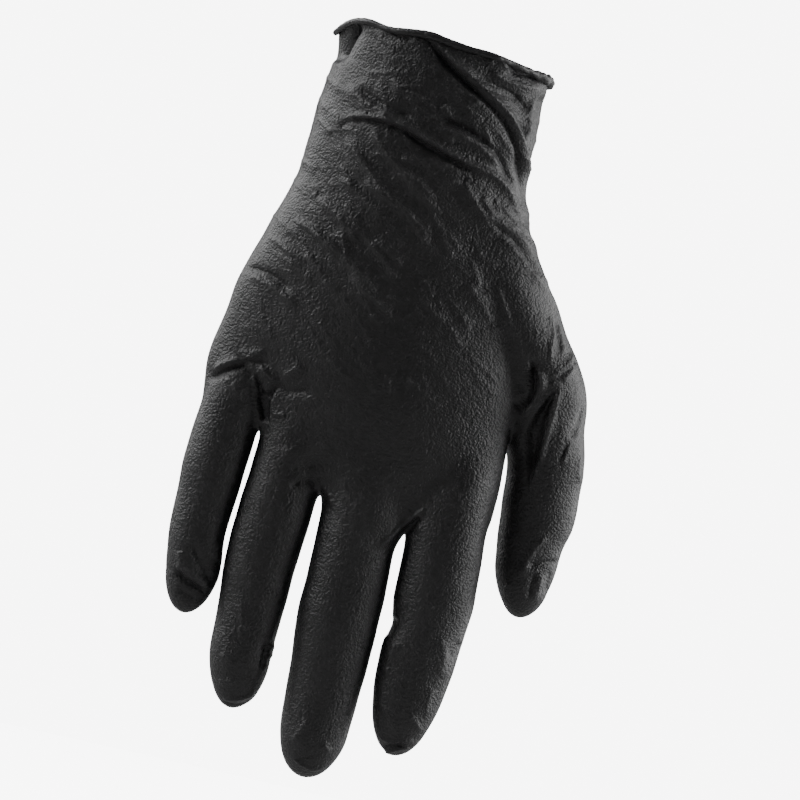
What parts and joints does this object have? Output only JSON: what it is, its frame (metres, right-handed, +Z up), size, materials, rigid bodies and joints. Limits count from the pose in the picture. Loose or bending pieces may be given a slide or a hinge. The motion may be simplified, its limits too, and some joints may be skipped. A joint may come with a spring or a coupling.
{
  "type": "disposable nitrile glove",
  "caption": "Thin black stretch glove with a rolled rim, hanging from its cuff, with fingers and thumb that bend at their folds.",
  "frame": {"origin": "centre of the cuff mouth", "axes": "+Z up out of the cuff mouth, -Y the back of the hand, +X the thumb's side; the fingers hang down -Z"},
  "size_m": [0.1277, 0.0496, 0.245],
  "materials": {
    "film": "satin",
    "rim": "satin"
  },
  "bodies": {
    "cuff": {"cuff_bead": "rim", "cuff_sleeve": "film"},
    "wrist": {"wrist_fold": "film"},
    "hand": {"hand_shell": "film", "little_root_fold": "film", "ring_root_fold": "film", "middle_root_fold": "film", "index_root_fold": "film", "thumb_root_fold": "film"},
    "little_proximal": {"little_proximal": "film", "little_middle_fold": "film"},
    "little_middle": {"little_middle": "film", "little_tip_fold": "film"},
    "little_tip": {"little_tip": "film"},
    "ring_proximal": {"ring_proximal": "film", "ring_middle_fold": "film"},
    "ring_middle": {"ring_middle": "film", "ring_tip_fold": "film"},
    "ring_tip": {"ring_tip": "film"},
    "middle_proximal": {"middle_proximal": "film", "middle_middle_fold": "film"},
    "middle_middle": {"middle_middle": "film", "middle_tip_fold": "film"},
    "middle_tip": {"middle_tip": "film"},
    "index_proximal": {"index_proximal": "film", "index_middle_fold": "film"},
    "index_middle": {"index_middle": "film", "index_tip_fold": "film"},
    "index_tip": {"index_tip": "film"},
    "thumb_base": {"thumb_base": "film", "thumb_tip_fold": "film"},
    "thumb_tip": {"thumb_tip": "film"}
  },
  "joints": [
    {"name": "wrist_flex", "type": "hinge", "parent": "cuff", "child": "wrist", "pos_m": [0, 0, -0.043], "axis": [1, 0, 0], "range_deg": [-50, 55], "stiffness_Nm_per_rad": 0.02, "deforming": ["wrist_fold"]},
    {"name": "wrist_tilt", "type": "hinge", "parent": "wrist", "child": "hand", "pos_m": [0, 0, -0.055], "axis": [0, 1, 0], "range_deg": [-12, 12], "stiffness_Nm_per_rad": 0.02, "deforming": ["wrist_fold"]},
    {"name": "little_knuckle_joint", "type": "hinge", "parent": "hand", "child": "little_proximal", "pos_m": [-0.0427, 0.00016, -0.14], "axis": [1, 0, 0], "range_deg": [-15, 60], "stiffness_Nm_per_rad": 0.002, "deforming": ["little_root_fold"]},
    {"name": "little_middle_joint", "type": "hinge", "parent": "little_proximal", "child": "little_middle", "pos_m": [-0.0434, 0.00045, -0.1585], "axis": [1, 0, 0], "range_deg": [0, 75], "stiffness_Nm_per_rad": 0.002, "deforming": ["little_middle_fold"]},
    {"name": "little_tip_joint", "type": "hinge", "parent": "little_middle", "child": "little_tip", "pos_m": [-0.0431, 0.00085, -0.176], "axis": [1, 0, 0], "range_deg": [0, 45], "stiffness_Nm_per_rad": 0.002, "deforming": ["little_tip_fold"]},
    {"name": "ring_knuckle_joint", "type": "hinge", "parent": "hand", "child": "ring_proximal", "pos_m": [-0.0204, 0.00024, -0.158], "axis": [1, 0, 0], "range_deg": [-15, 60], "stiffness_Nm_per_rad": 0.002, "deforming": ["ring_root_fold"]},
    {"name": "ring_middle_joint", "type": "hinge", "parent": "ring_proximal", "child": "ring_middle", "pos_m": [-0.0215, 0.00073, -0.18], "axis": [1, 0, 0], "range_deg": [0, 75], "stiffness_Nm_per_rad": 0.002, "deforming": ["ring_middle_fold"]},
    {"name": "ring_tip_joint", "type": "hinge", "parent": "ring_middle", "child": "ring_tip", "pos_m": [-0.0214, 0.00145, -0.201], "axis": [1, 0, 0], "range_deg": [0, 45], "stiffness_Nm_per_rad": 0.002, "deforming": ["ring_tip_fold"]},
    {"name": "middle_knuckle_joint", "type": "hinge", "parent": "hand", "child": "middle_proximal", "pos_m": [0.0071, 0.00009, -0.1625], "axis": [1, 0, 0], "range_deg": [-15, 60], "stiffness_Nm_per_rad": 0.002, "deforming": ["middle_root_fold"]},
    {"name": "middle_middle_joint", "type": "hinge", "parent": "middle_proximal", "child": "middle_middle", "pos_m": [0.0071, 0.00059, -0.188], "axis": [1, 0, 0], "range_deg": [0, 75], "stiffness_Nm_per_rad": 0.002, "deforming": ["middle_middle_fold"]},
    {"name": "middle_tip_joint", "type": "hinge", "parent": "middle_middle", "child": "middle_tip", "pos_m": [0.0074, 0.00153, -0.2135], "axis": [1, 0, 0], "range_deg": [0, 45], "stiffness_Nm_per_rad": 0.002, "deforming": ["middle_tip_fold"]},
    {"name": "index_knuckle_joint", "type": "hinge", "parent": "hand", "child": "index_proximal", "pos_m": [0.0355, 0.0001, -0.1625], "axis": [1, 0, 0], "range_deg": [-15, 60], "stiffness_Nm_per_rad": 0.002, "deforming": ["index_root_fold"]},
    {"name": "index_middle_joint", "type": "hinge", "parent": "index_proximal", "child": "index_middle", "pos_m": [0.0361, 0.00055, -0.184], "axis": [1, 0, 0], "range_deg": [0, 75], "stiffness_Nm_per_rad": 0.002, "deforming": ["index_middle_fold"]},
    {"name": "index_tip_joint", "type": "hinge", "parent": "index_middle", "child": "index_tip", "pos_m": [0.035, 0.00128, -0.204], "axis": [1, 0, 0], "range_deg": [0, 45], "stiffness_Nm_per_rad": 0.002, "deforming": ["index_tip_fold"]},
    {"name": "thumb_root_joint", "type": "hinge", "parent": "hand", "child": "thumb_base", "pos_m": [0.0614, 0.0075, -0.1285], "axis": [0.5, -0.866, 0], "range_deg": [0, 35], "stiffness_Nm_per_rad": 0.002, "deforming": ["thumb_root_fold"]},
    {"name": "thumb_tip_joint", "type": "hinge", "parent": "thumb_base", "child": "thumb_tip", "pos_m": [0.0626, 0.0085, -0.149], "axis": [1, 0, 0], "range_deg": [0, 60], "stiffness_Nm_per_rad": 0.002, "deforming": ["thumb_tip_fold"]}
  ],
  "couplings": [
    {"joint": "little_tip_joint", "follows": "little_middle_joint", "ratio": 0.6},
    {"joint": "ring_tip_joint", "follows": "ring_middle_joint", "ratio": 0.6},
    {"joint": "middle_tip_joint", "follows": "middle_middle_joint", "ratio": 0.6},
    {"joint": "index_tip_joint", "follows": "index_middle_joint", "ratio": 0.6}
  ]
}
